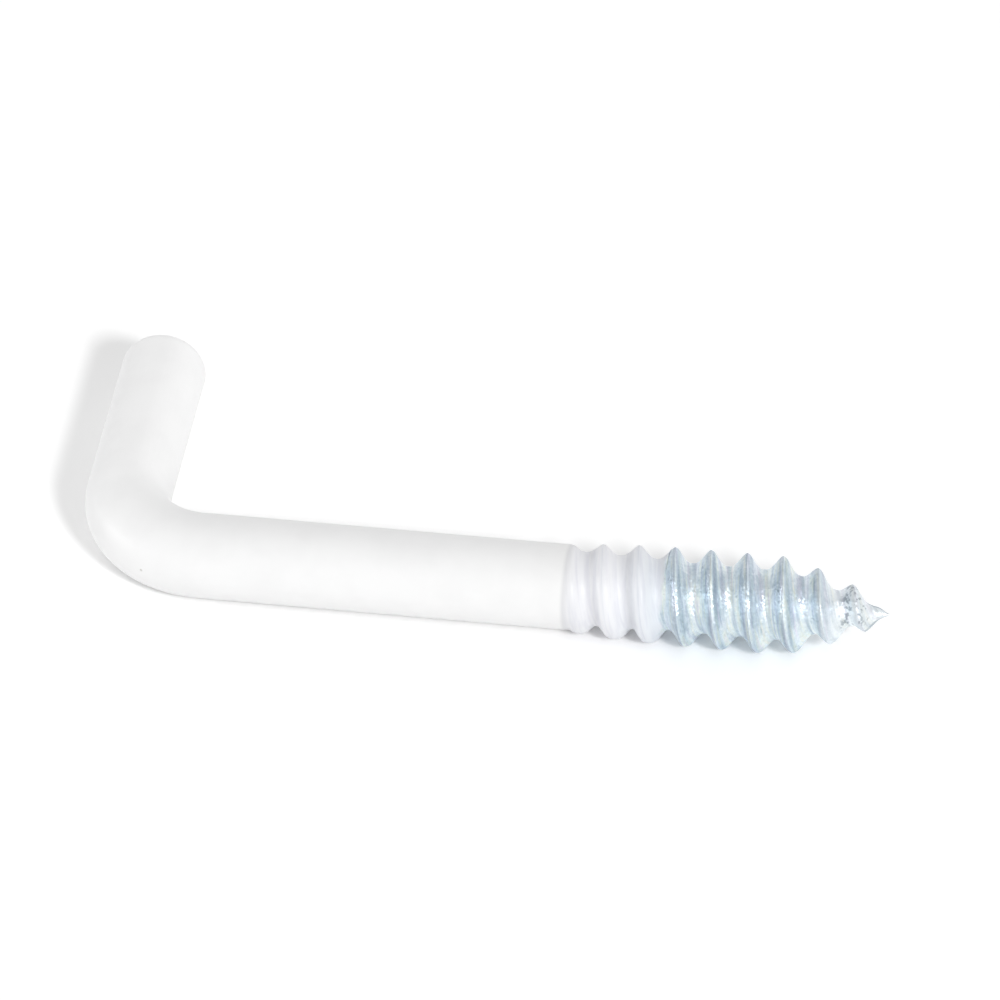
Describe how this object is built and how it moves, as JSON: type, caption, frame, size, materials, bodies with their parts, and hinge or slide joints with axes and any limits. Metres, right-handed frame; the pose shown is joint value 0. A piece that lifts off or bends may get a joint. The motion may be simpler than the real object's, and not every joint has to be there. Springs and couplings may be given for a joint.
{
  "type": "square bend screw hook",
  "caption": "Square bend screw hook: a plastic-coated steel wire turned through a right angle, with a coarse gimlet-pointed wood thread.",
  "frame": {"origin": "on the screw's axis at the shoulder, where the hook meets the wall", "axes": "+X along the screw into the wall towards the point, +Y along the arm, +Z across both; the hook lies on its side"},
  "size_m": [0.0502, 0.0217, 0.006],
  "materials": {
    "zinc_steel": "bright zinc plating, cool blue-grey, finely grained",
    "white_plastic": "glossy white plastic coat"
  },
  "bodies": {
    "root": {"steel_hook": "zinc_steel", "white_coat": "white_plastic"}
  },
  "joints": []
}
